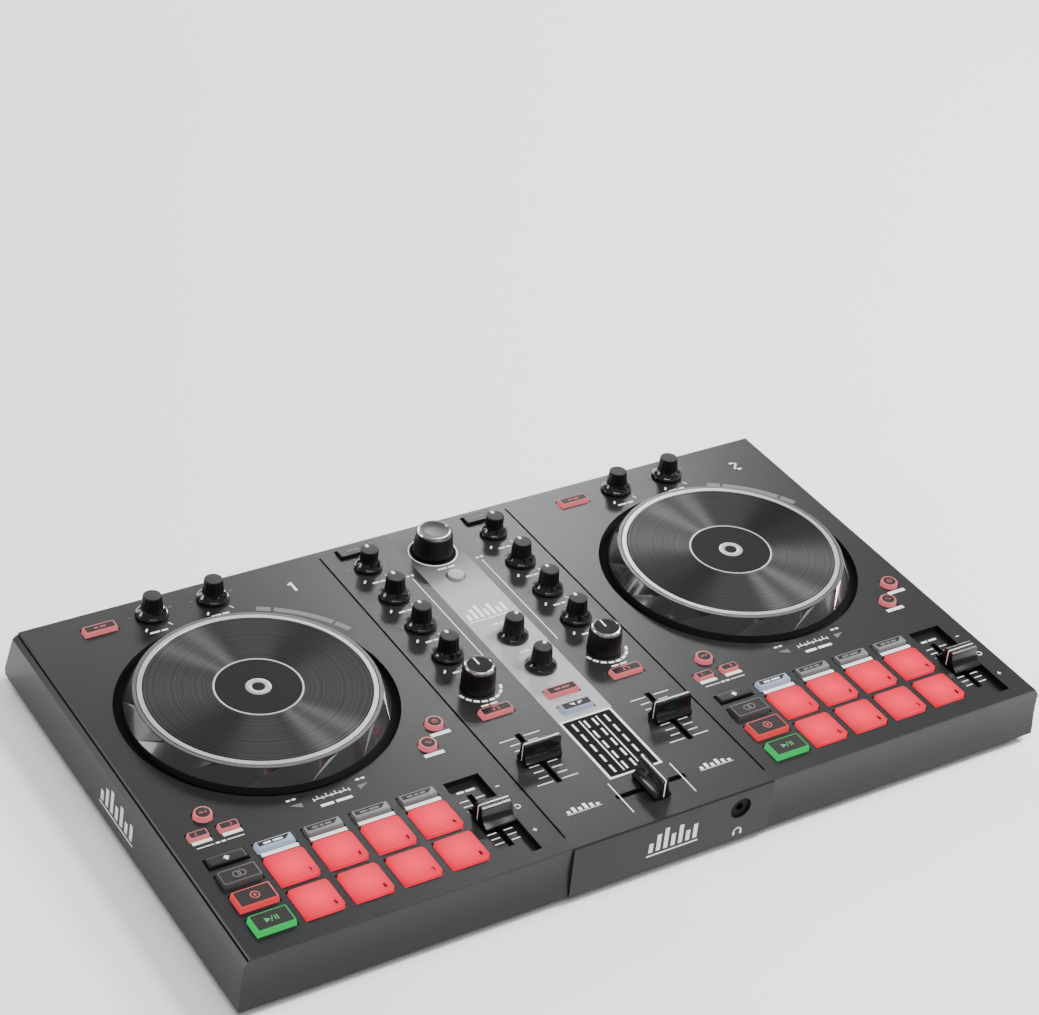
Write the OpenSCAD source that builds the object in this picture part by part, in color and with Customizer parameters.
// Two-deck DJ controller: a flat console with two jog wheels, a mixer section,
// knobs, faders and spring-loaded keys over one circuit board.
// +X is to the right, +Y to the back, +Z up; z = 0 is the table.

/* [Case] */
// Width of the case at its bottom edge
case_w = 402; // [398:1:410]
// Depth of the case at its bottom edge
case_d = 236; // [234:1:240]
// Height of the panel above the table
top_z = 31; // [30:0.5:33]
// Height of the rubber feet
foot_h = 5; // [4.5:0.5:6]
// Thickness of the panel and of the tray
plate_t = 2.5; // [2:0.1:2.6]

/* [Decks] */
// Distance of each deck's centre line from the middle
deck_x = 124; // [123.5:0.1:124.5]
// Position of the jog wheels from front to back
jog_y = 21.6; // [21:0.1:22]
// Radius of the round wells that hold the jog wheels
well_r = 61.7; // [61.5:0.1:62]
// Radius of the jog wheels at the foot of the flank
jog_r = 57.4; // [56:0.1:58]
// Radius of the jog wheels at the rim
rim_r = 53.5; // [53:0.1:54]
// Height of the jog wheels above the panel
jog_h = 8.8; // [8:0.1:10]

/* [Controls] */
// Height of the small knobs above the panel
knob_h = 11.6; // [10:0.1:14]
// Skirt radius of the small knobs
knob_r = 7.3; // [7:0.1:7.6]
// Skirt radius of the gain knobs
gain_r = 6.6; // [6:0.1:7.3]
// Height of the gain knobs above the panel
gain_h = 10.5; // [9:0.1:12]
// Length of travel of every fader to each side
fader_travel = 15; // [12:0.5:15]
// Depth that a key goes down
key_travel = 0.8; // [0.5:0.1:0.8]
// Edge length of the performance pads
pad_w = 18; // [17:0.1:18.5]

/* [Hidden] */
$fn = 96;

LEFT = -deck_x;
RIGHT = deck_x;
SIDES = [-1, 1];
eps = 0.01;

// Heights
wall_z = 4.5;
tray_z = foot_h;
under_z = top_z - plate_t;
board_z = 16;
board_top = 17.6;
pot_top = 24.6;
switch_top = 22;
well_floor = top_z - 4;

// Case outline
half_w = case_w / 2;
half_d = case_d / 2;
shoulder_w = half_w - 1.7;
panel_w = half_w - 4.5;
shoulder_drop = 3.8;
back_top_y = half_d - 8.2;
block_w = 50.3;
block_step = 1.5;
front_in = -half_d + 5;
side_in = half_w - 3.5;
side_bend_z = 22;
roof_in = panel_w - 1.7;
edge_groove_x = panel_w + 0.8;
corner_r = 2;
screws = concat([for (s = SIDES, y = [-108, 98]) [193.3 * s, y]],
    [for (s = SIDES) [58 * s, 94]], [for (s = SIDES) [54 * s, -108.5]]);
boss_r = 3;
standoffs = [for (x = [-150, 0, 150], y = [-62, 88]) [x, y]];
feet = [for (s = SIDES, y = [-98, 92]) [178 * s, y]];

// Controls: each deck's are measured from its own centre line, the mixer's from the middle
shaft_r = 3;
fit = 0.04;
gap = 0.35;
fx_key_at = [-40, 96.7];
fx_knobs_at = [[-14.7, 97.3], [15.3, 97.3]];
fx_r = 7.5;
fx_h = 11;
play_at = [-56, -102.4];
cue_at = [-56, -87.6];
sync_at = [-56, -73.9];
shift_at = [-56, -62.4];
pad_x = [-34.5, -12.5, 9.5, 31.5];
pad_y = [-77.7, -98.8];
mode_y = -62.2;
loop_round_at = [-53, -34.5];
loop_keys_at = [[-60.1, -45], [-46.6, -45]];
deck_keys_at = [[61.5, -23.5], [52, -34.8]];
tempo_at = [53.5, -84.5];
tempo_well = [45, -111.5, 62, -59.5];
tempo_drop = 3;
knob_shift = 0.7;
gain_at = [33.8, 89.4];
high_at = [33.8, 64.6];
mid_at = [33.8, 40.2];
low_at = [33.8, 15.8];
filter_at = [33, -9];
volume_at = [33.5, -61.8];
load_at = [34, 103];
phones_at = [33.8, -27.2];
cross_at = [0, -98.2];
browse_at = [0.6, 88.2];
browse_well_r = 10.9;
browse_foot = top_z + 1.2;
browse_top = top_z + 12.7;
assistant_at = [0.8, 67];
master_knob_at = [0.8, 15.8];
headphone_knob_at = [0.8, -8.3];
master_key_at = [0, -27];
light_key_at = [0, -39];
strip = [-13.5, -45.8, 14.2, 109.5];
meter = [-12.2, -86.2, 12.2, -46.8];
meter_frame = [-13.4, -87.2, 13.4, -45.8];
strip_t = 0.6;

// Key plans
wide_key = [17.6, 10.8];
sync_key = [17.6, 9];
slim_key = [17.6, 6.2];
mode_key = [17.4, 5.8];
small_key = [9.3, 5];
cue_key = [16, 6.2];
load_key = [15.5, 7];
round_r = 4.3;
pad_corner = 2;

mixer_knobs = [gain_at, high_at, mid_at, low_at, filter_at];
pot_places = concat(
    [for (s = SIDES, p = fx_knobs_at) [deck_x * s + p[0], p[1]]],
    [for (s = SIDES, p = mixer_knobs) mixer(s, p)],
    [master_knob_at, headphone_knob_at]);
slot_places = concat([for (s = SIDES) [deck_x * s + tempo_at[0], tempo_at[1]]],
    [for (s = SIDES) [volume_at[0] * s, volume_at[1]]]);
deck_key_places = concat([play_at, cue_at, sync_at, shift_at, fx_key_at],
    [loop_round_at], loop_keys_at, deck_keys_at, [for (x = pad_x) [x, mode_y]],
    [for (x = pad_x, y = pad_y) [x, y]]);
switch_places = concat([for (s = SIDES, p = deck_key_places) [deck_x * s + p[0], p[1]]],
    [for (s = SIDES, p = [load_at, phones_at]) [p[0] * s, p[1]]],
    [assistant_at, master_key_at, light_key_at]);
socket_x = 34.2;
socket_z = top_z - 9.4;
usb_at = [-62, 12.1, 10.9];
phono_x = [72, 90];
phono_z = board_top + 2.4;
phono_r = 4.15;
rear_y = half_d - 3.2;

function side(s, at) = [s * at[0], at[1]];
function mixer(s, at) = [s * at[0] + knob_shift, at[1]];

// A block between two heights with square corners, given by its middle
module slab(at, size, z0, z1) {
    translate([at[0] - size[0] / 2, at[1] - size[1] / 2, z0])
        cube([size[0], size[1], z1 - z0]);
}

// A block over a plan rectangle [x0, y0, x1, y1]
module over(plan, z0, z1) {
    translate([plan[0], plan[1], z0])
        cube([plan[2] - plan[0], plan[3] - plan[1], z1 - z0]);
}

module post(at, r, z0, z1) {
    translate([at[0], at[1], z0])
        cylinder(r = r, h = z1 - z0);
}

// A block with rounded upright corners
module rounded(at, size, r, z0, z1) {
    slab(at, [size[0] - 2 * r, size[1]], z0, z1);
    slab(at, [size[0], size[1] - 2 * r], z0, z1);
    for (sx = SIDES, sy = SIDES)
        post(at + [sx * (size[0] / 2 - r), sy * (size[1] / 2 - r)], r, z0, z1);
}

// ---- Case ----

module along_x(x0, x1) {
    translate([x0, 0, 0])
        rotate([90, 0, 90])
            linear_extrude(x1 - x0)
                children();
}

module along_y(y0, y1) {
    translate([0, y1, 0])
        rotate([90, 0, 0])
            linear_extrude(y1 - y0)
                children();
}

// The hollowed front of a deck, as a side view: nothing at its top edge, deepest below it
scoop_steps = 10;
scoop_z = top_z - 0.8;
function scoop(t) = block_step * (0.45 + 0.55 * sin(180 * t));
module deck_front_cut() {
    polygon(concat([[-half_d - 2, top_z + 1], [-half_d + 0.8, top_z + 1], [-half_d + 0.7, top_z]],
        [for (i = [0:scoop_steps])
            let (t = i / scoop_steps)
            [-half_d + scoop(t), scoop_z + (wall_z - scoop_z) * t]],
        [[-half_d + block_step * 0.45, wall_z - 1], [-half_d - 2, wall_z - 1]]));
}

module case_body() {
    intersection() {
        along_y(-half_d, half_d)
            polygon([[-half_w, wall_z], [-shoulder_w, top_z - shoulder_drop], [-panel_w, top_z],
                [panel_w, top_z], [shoulder_w, top_z - shoulder_drop], [half_w, wall_z]]);
        along_x(-half_w, half_w)
            polygon([[-half_d, wall_z], [-half_d, top_z - 0.6], [-half_d + 0.6, top_z],
                [back_top_y, top_z], [half_d, wall_z]]);
        rounded([0, 0], [case_w, case_d], corner_r, wall_z, top_z);
    }
}

module case_cavity() {
    intersection() {
        along_x(-side_in, side_in)
            polygon([[front_in, wall_z - 1], [front_in, under_z], [back_top_y - 1.6, under_z],
                [half_d - 5.5, 14], [half_d - 5.5, wall_z - 1]]);
        along_y(-half_d, half_d)
            polygon([[-side_in, wall_z - 1], [-side_in, side_bend_z], [-roof_in, under_z],
                [roof_in, under_z], [side_in, side_bend_z], [side_in, wall_z - 1]]);
        rounded([0, 0], [2 * side_in, 2 * half_d - 5], 2, wall_z - 1, under_z);
    }
}

module well_wall(x) {
    post([x, jog_y], well_r + plate_t, well_floor - plate_t, top_z - 1);
}

module deck_openings(x) {
    post([x, jog_y], well_r, well_floor, top_z + 1);
    post([x, jog_y], shaft_r + 0.1, well_floor - plate_t - 1, top_z);
    for (p = fx_knobs_at)
        post(p + [x, 0], shaft_r + 0.6, under_z - 1, top_z + 1);
    for (k = [[play_at, wide_key], [cue_at, wide_key], [sync_at, sync_key],
            [shift_at, slim_key], [fx_key_at, cue_key]])
        key_opening(k[0] + [x, 0], k[1]);
    for (p = loop_keys_at)
        key_opening(p + [x, 0], small_key);
    for (px = pad_x)
        key_opening([px + x, mode_y], mode_key);
    for (px = pad_x, py = pad_y)
        pad_block([px + x, py], gap, under_z - 1, top_z + 1);
    for (p = concat([loop_round_at], deck_keys_at))
        post(p + [x, 0], round_r + gap, under_z - 1, top_z + 1);
    over([tempo_well[0] + x, tempo_well[1], tempo_well[2] + x, tempo_well[3]],
        top_z - tempo_drop, top_z + 1);
    slab(tempo_at + [x, 0], [2.7, 2 * fader_travel + 5], 20, top_z);
}

// A pad's plan, grown all round: a square with its front right corner cut off
module pad_block(at, grow, z0, z1) {
    reach = (pad_w - pad_corner) / 2 + grow * cos(45);
    difference() {
        slab(at, [pad_w + 2 * grow, pad_w + 2 * grow], z0, z1);
        translate([at[0] + reach, at[1] - reach, 0])
            rotate([0, 0, -45])
                slab([4, 0], [8, 12], z0 - 1, z1 + 1);
    }
}

module key_opening(at, size) {
    slab(at, size + [2 * gap, 2 * gap], under_z - 1, top_z + 1);
}

module mixer_openings() {
    for (s = SIDES) {
        for (p = mixer_knobs)
            post(mixer(s, p), shaft_r + 0.6, under_z - 1, top_z + 1);
        key_opening(side(s, load_at), load_key);
        key_opening(side(s, phones_at), cue_key);
        slab(side(s, volume_at), [2.7, 2 * fader_travel + 5], under_z - 1, top_z + 1);
        slab([s * (block_w + 0.1), -2.75], [1, 215.5], top_z - 0.8, top_z + 1);
    }
    for (p = [master_knob_at, headphone_knob_at, browse_at])
        post(p, shaft_r + 0.6, under_z - 1, top_z + 1);
    key_opening(master_key_at, cue_key);
    key_opening(light_key_at, cue_key);
    post(assistant_at, round_r + gap, under_z - 1, top_z + 1);
    slab(cross_at, [2 * fader_travel + 5, 2.7], under_z - 1, top_z + 1);
    over(strip, top_z - strip_t, top_z + 1);
    over(meter_frame, top_z - strip_t, top_z + 1);
}

module rear_openings() {
    rear_hole(usb_at[0], usb_at[1] + 1, usb_at[2] + 1);
    for (x = phono_x)
        translate([x, half_d - 12, phono_z])
            rotate([-90, 0, 0])
                cylinder(r = 5.8, h = 14);
    rear_hole(140, 7, 3);
}

module rear_hole(x, w, h) {
    translate([x - w / 2, half_d - 12, phono_z - h / 2])
        cube([w, 14, h]);
}

module top_case() {
    color("dimgray")
        difference() {
            union() {
                difference() {
                    case_body();
                    case_cavity();
                }
                for (x = [LEFT, RIGHT]) {
                    well_wall(x);
                    over([tempo_well[0] + x - 2, tempo_well[1] - 0.5, tempo_well[2] + x + 2,
                        tempo_well[3] + 2], top_z - tempo_drop - 2.2, top_z - 1);
                }
                for (p = screws)
                    post(p, boss_r, 8, top_z - 1);
            }
            for (x = [LEFT, RIGHT])
                deck_openings(x);
            mixer_openings();
            rear_openings();
            for (s = SIDES) {
                along_x(s > 0 ? block_w : -half_w - 1, s > 0 ? half_w + 1 : -block_w)
                    deck_front_cut();
                slab([s * edge_groove_x, 0], [0.6, case_d - 2], top_z - 1.7, top_z + 1);
            }
            for (p = screws)
                post(p, 1.3, 7, 22);
            translate([socket_x, -half_d - 1, socket_z])
                rotate([-90, 0, 0])
                    cylinder(r = 5.15, h = 10);
        }
}

module bottom_case() {
    tray_y0 = front_in + 0.3;
    tray_y1 = half_d - 5.8;
    mid_y = (tray_y0 + tray_y1) / 2;
    tray_d = tray_y1 - tray_y0;
    color("black")
        difference() {
            union() {
                rounded([0, mid_y], [2 * side_in - 0.6, tray_d], 2, tray_z, tray_z + plate_t);
                difference() {
                    rounded([0, mid_y], [2 * side_in - 0.6, tray_d], 2, tray_z, 12);
                    slab([0, mid_y], [2 * side_in - 5, tray_d - 4.4], tray_z - 1, 13);
                }
                for (p = standoffs)
                    post(p, 3.5, tray_z, board_z);
            }
            for (p = screws) {
                post(p, 1.6, tray_z - 1, 9);
                post(p, 3.2, tray_z - 1, tray_z + 1.2);
            }
            for (p = screws)
                post(p, boss_r + 0.3, 8 - 0.2, 13);
            for (x = [LEFT, RIGHT], i = [-5:5])
                slab([x + 8 * i, -20], [3, 36], tray_z - 1, tray_z + plate_t + 1);
        }
}

module case_screws() {
    color("silver")
        for (p = screws) {
            post(p, 2.9, tray_z - 0.6 + 0.8, tray_z + 1.2);
            post(p, 1.25, tray_z + 1.2 - eps, 18);
        }
}

module rubber_feet() {
    color("black")
        for (p = feet) {
            post(p, 9, 0.8, foot_h);
            translate([p[0], p[1], 0])
                cylinder(r1 = 8.2, r2 = 9, h = 0.8);
        }
}

module centre_plate() {
    color("silver")
        difference() {
            union() {
                over(strip, top_z - strip_t, top_z);
                over(meter_frame, top_z - strip_t, top_z);
            }
            over(meter, top_z - strip_t - 1, top_z + 1);
            for (p = [master_knob_at, headphone_knob_at])
                post(p, shaft_r + 0.6, top_z - 1, top_z + 1);
            post(browse_at, browse_well_r, top_z - 1, top_z + 1);
            key_opening(master_key_at, cue_key);
            key_opening(light_key_at, cue_key);
            post(assistant_at, round_r + gap, top_z - 1, top_z + 1);
        }
}

module meter_window() {
    color("black")
        over(meter, top_z - strip_t, top_z - 0.1);
}

// ---- Inside ----

module main_board() {
    color("darkgreen")
        difference() {
            over([-194, front_in + 1, 194, 106], board_z, board_top);
            for (p = screws)
                post(p, 4.5, board_z - 1, board_top + 1);
            slab([usb_at[0], 106], [usb_at[1] + 1, 12], board_z - 1, board_top + 1);
        }
}

module jog_spindles() {
    color("silver")
        for (x = [LEFT, RIGHT]) {
            post([x, jog_y], 9, well_floor - plate_t - 2.5, well_floor - plate_t);
            post([x, jog_y], shaft_r, well_floor - plate_t - 2.5, top_z + 6);
        }
}

module pot_housings() {
    color("slategray")
        for (p = concat(pot_places, [browse_at]))
            difference() {
                slab(p, [11, 11], board_top, pot_top);
                post(p, shaft_r + fit, board_top + 1.4, pot_top + 1);
            }
}

module fader_housing(at, size, lever) {
    difference() {
        slab(at, size, board_top, pot_top);
        slab(at, lever, board_top + 1.4, pot_top + 1);
    }
}

module fader_housings() {
    long = 2 * fader_travel + 14;
    inner = 2 * fader_travel + 5;
    color("slategray") {
        for (p = slot_places)
            fader_housing(p, [9, long], [3.2, inner]);
        fader_housing(cross_at, [long, 9], [inner, 3.2]);
    }
}

module key_switches() {
    color("black")
        for (p = switch_places) {
            slab(p, [4.6, 4.6], board_top, switch_top - 0.8);
            post(p, 1.5, switch_top - 0.8, switch_top);
        }
}

module sockets() {
    color("dimgray") {
        difference() {
            union() {
                translate([socket_x - 5.5, front_in, board_top])
                    cube([11, 13, 9.4]);
                translate([socket_x, front_in + eps, socket_z])
                    rotate([90, 0, 0])
                        cylinder(r = 5, h = 4);
            }
            translate([socket_x, front_in - 5, socket_z])
                rotate([-90, 0, 0])
                    cylinder(r = 1.8, h = 15);
        }
        difference() {
            translate([usb_at[0] - usb_at[1] / 2, rear_y - 14, board_top - 3.1])
                cube([usb_at[1], 13, usb_at[2]]);
            translate([usb_at[0] - 4.2, rear_y - 10, board_top - 1.2])
                cube([8.4, 10, 7.6]);
        }
        for (x = phono_x)
            difference() {
                union() {
                    translate([x - 5, rear_y - 14.4, board_top])
                        cube([10, 6, 8]);
                    translate([x, rear_y - 9, phono_z])
                        rotate([-90, 0, 0])
                            cylinder(r = 2.3, h = 1.9);
                    translate([x, rear_y - 7.6, phono_z])
                        rotate([-90, 0, 0])
                            cylinder(r = phono_r, h = 10.6);
                }
                translate([x, rear_y - 7, phono_z])
                    rotate([-90, 0, 0])
                        cylinder(r = 1.6, h = 12);
            }
    }
}

// ---- Jog wheels ----

module jog_wheel(x) {
    foot = well_floor + 0.6;
    rim = top_z + jog_h - 0.2;
    color([0.05, 0.05, 0.05])
        translate([x, jog_y, 0])
            rotate_extrude($fn = 120)
                polygon([[shaft_r + fit, foot], [8, foot], [8, top_z + 2], [jog_r - 3, top_z + 2],
                    [jog_r - 3, foot], [jog_r, foot], [jog_r, top_z + 1], [rim_r + 0.6, rim - 0.5],
                    [rim_r, rim], [52.3, rim], [52.3, top_z + jog_h - 2.2],
                    [shaft_r + fit, top_z + jog_h - 2.2]]);
}

module touch_plate(x) {
    plate_z = top_z + jog_h - 2.2;
    face = top_z + jog_h;
    color([0.12, 0.12, 0.12])
        translate([x, jog_y, 0])
            rotate_extrude($fn = 120)
                polygon([[0, plate_z], [52.3, plate_z], [52.3, face - 0.3], [52, face],
                    [19.6, face], [19.2, face - 0.2], [0, face - 0.2]]);
}

module left_jog_wheel() {
    jog_wheel(LEFT);
}

module right_jog_wheel() {
    jog_wheel(RIGHT);
}

module left_touch_plate() {
    touch_plate(LEFT);
}

module right_touch_plate() {
    touch_plate(RIGHT);
}

// ---- Knobs ----

// A small knob with a flared skirt, a slim stem and an index rib, on its rotor shaft
module knob(at, r = knob_r, h = knob_h) {
    foot = top_z + 0.4;
    tip = top_z + h;
    color([0.08, 0.08, 0.08])
        translate([at[0], at[1], 0]) {
            rotate_extrude()
                polygon([[0, board_top + 1.6], [shaft_r, board_top + 1.6], [shaft_r, foot],
                    [r, foot], [r, foot + 1.3], [r - 0.6, foot + 1.9], [r - 1.9, foot + 3],
                    [r - 2.3, foot + 4.4], [4.3, tip - 0.5], [3.8, tip], [0, tip]]);
            translate([-0.5, 1, tip - 3])
                cube([1, 3.7, 3]);
        }
}

// A wider knob: straight-sided cone with a dished top
module wide_knob(at, base, top, h) {
    foot = top_z + 0.4;
    tip = top_z + h;
    shaft_z = board_top + 1.6;
    color([0.08, 0.08, 0.08])
        translate([at[0], at[1], 0])
            rotate_extrude()
                polygon([[0, shaft_z], [shaft_r, shaft_z], [shaft_r, foot], [base, foot],
                    [top, tip - 0.8], [top - 0.4, tip], [top - 1, tip], [top - 1.2, tip - 0.8],
                    [0, tip - 1.1]]);
}

module left_fx_depth_knob() {
    knob(fx_knobs_at[0] + [LEFT, 0], fx_r, fx_h);
}

module right_fx_depth_knob() {
    knob(fx_knobs_at[0] + [RIGHT, 0], fx_r, fx_h);
}

module left_fx_beat_knob() {
    knob(fx_knobs_at[1] + [LEFT, 0], fx_r, fx_h);
}

module right_fx_beat_knob() {
    knob(fx_knobs_at[1] + [RIGHT, 0], fx_r, fx_h);
}

module left_gain_knob() {
    knob(mixer(-1, gain_at), gain_r, gain_h);
}

module right_gain_knob() {
    knob(mixer(1, gain_at), gain_r, gain_h);
}

module left_high_knob() {
    knob(mixer(-1, high_at));
}

module right_high_knob() {
    knob(mixer(1, high_at));
}

module left_mid_knob() {
    knob(mixer(-1, mid_at));
}

module right_mid_knob() {
    knob(mixer(1, mid_at));
}

module left_low_knob() {
    knob(mixer(-1, low_at));
}

module right_low_knob() {
    knob(mixer(1, low_at));
}

module left_filter_knob() {
    wide_knob(mixer(-1, filter_at), 7.9, 7.2, 12.6);
}

module right_filter_knob() {
    wide_knob(mixer(1, filter_at), 7.9, 7.2, 12.6);
}

module master_volume_knob() {
    knob(master_knob_at);
}

module headphone_volume_knob() {
    knob(headphone_knob_at);
}

// The browse knob turns on a shaft that also goes down as a push switch
push_r = 1.5;
module browse_knob() {
    color([0.08, 0.08, 0.08])
        difference() {
            translate([browse_at[0], browse_at[1], 0])
                rotate_extrude()
                    polygon([[0, browse_foot], [9.6, browse_foot], [8.6, browse_top - 0.8],
                        [8.2, browse_top], [7.6, browse_top], [7.3, browse_top - 0.7],
                        [0, browse_top - 1.1]]);
            post(browse_at, push_r + fit, top_z, top_z + 9);
        }
}

module browse_shaft() {
    color("silver") {
        post(browse_at, shaft_r, board_top + 2.8, browse_foot - 0.3);
        post(browse_at, push_r, top_z, top_z + 8);
    }
}

// ---- Faders ----

cap_foot = top_z + 0.6;

// A fader cap with a waisted side view, on its lever; it slides along Y
module fader(at, w, d, h, drop, shift) {
    foot = cap_foot - drop;
    color([0.05, 0.05, 0.05]) {
        along_x_at(at + [shift, 0], w)
            polygon([[-d / 2, foot], [d / 2, foot], [d / 2, foot + 1.6], [d * 0.3, foot + 3.4],
                [d * 0.2, foot + h - 1], [d * 0.14, foot + h], [-d * 0.14, foot + h],
                [-d * 0.2, foot + h - 1], [-d * 0.3, foot + 3.4], [-d / 2, foot + 1.6]]);
        slab(at, [1.4, 4], board_top + 2, foot + 0.5);
    }
}

module along_x_at(at, w) {
    translate([at[0] - w / 2, at[1], 0])
        rotate([90, 0, 90])
            linear_extrude(w)
                children();
}

module left_tempo_fader() {
    fader(tempo_at + [LEFT, 0], 14.6, 15, 8.6, tempo_drop - 1, 0.8);
}

module right_tempo_fader() {
    fader(tempo_at + [RIGHT, 0], 14.6, 15, 8.6, tempo_drop - 1, 0.8);
}

module left_volume_fader() {
    fader(side(-1, volume_at), 18.2, 8.5, 9.6, 0, 0.6);
}

module right_volume_fader() {
    fader(side(1, volume_at), 18.2, 8.5, 9.6, 0, 0.6);
}

module crossfader() {
    translate([cross_at[0], cross_at[1], 0])
        rotate([0, 0, 90])
            fader([0, 0], 18.2, 8.5, 9.6, 0, -0.3);
}

// ---- Keys ----

flange_z = under_z - 1.3;
flange = 0.8;
stem_z = switch_top + key_travel + 0.3;

// A key: its cap through the panel, a flange below it and a stem over its switch
module key(at, size, h) {
    rounded(at, size, 0.8, flange_z, top_z + h);
    slab(at, size + [2 * flange, 2 * flange], flange_z, flange_z + 1);
    post(at, 1.6, stem_z, flange_z + eps);
}

module round_key(at, h) {
    post(at, round_r, flange_z, top_z + h);
    post(at, round_r + flange + 0.4, flange_z, flange_z + 1);
    post(at, 1.6, stem_z, flange_z + eps);
}

module play_key(x) {
    color("limegreen")
        key(play_at + [x, 0], wide_key, 2.2);
}

module left_play_key() {
    play_key(LEFT);
}

module right_play_key() {
    play_key(RIGHT);
}

module cue_key_of(x) {
    color("indianred")
        key(cue_at + [x, 0], wide_key, 2.2);
}

module left_cue_key() {
    cue_key_of(LEFT);
}

module right_cue_key() {
    cue_key_of(RIGHT);
}

module sync_key_of(x) {
    color("gray")
        key(sync_at + [x, 0], sync_key, 2.2);
}

module left_sync_key() {
    sync_key_of(LEFT);
}

module right_sync_key() {
    sync_key_of(RIGHT);
}

module shift_key(x) {
    color([0.1, 0.1, 0.1])
        key(shift_at + [x, 0], slim_key, 1.2);
}

module left_shift_key() {
    shift_key(LEFT);
}

module right_shift_key() {
    shift_key(RIGHT);
}

// Eight soft pads moulded in one mat, each with a cut front right corner
module pads(x) {
    mat = [pad_x[0] - pad_w / 2 - 1.2, pad_y[1] - pad_w / 2 - 1.2,
        pad_x[3] + pad_w / 2 + 1.2, pad_y[0] + pad_w / 2 + 0.8];
    color([0.95, 0.3, 0.3]) {
        for (px = pad_x, py = pad_y)
            pad_block([px + x, py], 0, flange_z, top_z + 1.2);
        over([mat[0] + x, mat[1], mat[2] + x, mat[3]], flange_z, flange_z + 1);
        for (px = pad_x, py = pad_y)
            post([px + x, py], 1.6, stem_z, flange_z + eps);
    }
}

module left_pads() {
    pads(LEFT);
}

module right_pads() {
    pads(RIGHT);
}

module mode_keys(x) {
    color("silver")
        for (px = pad_x)
            key([px + x, mode_y], mode_key, 1.6);
}

module left_mode_keys() {
    mode_keys(LEFT);
}

module right_mode_keys() {
    mode_keys(RIGHT);
}

module loop_keys(x) {
    color("indianred") {
        for (p = loop_keys_at)
            key(p + [x, 0], small_key, 1.4);
        round_key(loop_round_at + [x, 0], 1.8);
    }
}

module left_loop_keys() {
    loop_keys(LEFT);
}

module right_loop_keys() {
    loop_keys(RIGHT);
}

module deck_keys(x) {
    color("indianred")
        for (p = deck_keys_at)
            round_key(p + [x, 0], 1.8);
}

module left_deck_keys() {
    deck_keys(LEFT);
}

module right_deck_keys() {
    deck_keys(RIGHT);
}

module fx_key(x) {
    color("indianred")
        key(fx_key_at + [x, 0], cue_key, 1.8);
}

module left_fx_key() {
    fx_key(LEFT);
}

module right_fx_key() {
    fx_key(RIGHT);
}

module channel_keys() {
    color([0.1, 0.1, 0.1])
        for (s = SIDES) {
            key(side(s, load_at), load_key, 1.6);
            key(side(s, phones_at), cue_key, 1.8);
        }
}

module assistant_key() {
    color("gray")
        round_key(assistant_at, 1.4);
}

module monitor_keys() {
    color("indianred") {
        key(master_key_at, cue_key, 1.8);
        key(light_key_at, cue_key, 1.8);
    }
}

top_case();
bottom_case();
centre_plate();
meter_window();
rubber_feet();
case_screws();
main_board();
jog_spindles();
pot_housings();
fader_housings();
key_switches();
sockets();
left_jog_wheel();
right_jog_wheel();
left_touch_plate();
right_touch_plate();
left_fx_depth_knob();
right_fx_depth_knob();
left_fx_beat_knob();
right_fx_beat_knob();
left_gain_knob();
right_gain_knob();
left_high_knob();
right_high_knob();
left_mid_knob();
right_mid_knob();
left_low_knob();
right_low_knob();
left_filter_knob();
right_filter_knob();
master_volume_knob();
headphone_volume_knob();
browse_knob();
browse_shaft();
left_tempo_fader();
right_tempo_fader();
left_volume_fader();
right_volume_fader();
crossfader();
left_play_key();
right_play_key();
left_cue_key();
right_cue_key();
left_sync_key();
right_sync_key();
left_shift_key();
right_shift_key();
left_pads();
right_pads();
left_mode_keys();
right_mode_keys();
left_loop_keys();
right_loop_keys();
left_deck_keys();
right_deck_keys();
left_fx_key();
right_fx_key();
channel_keys();
assistant_key();
monitor_keys();
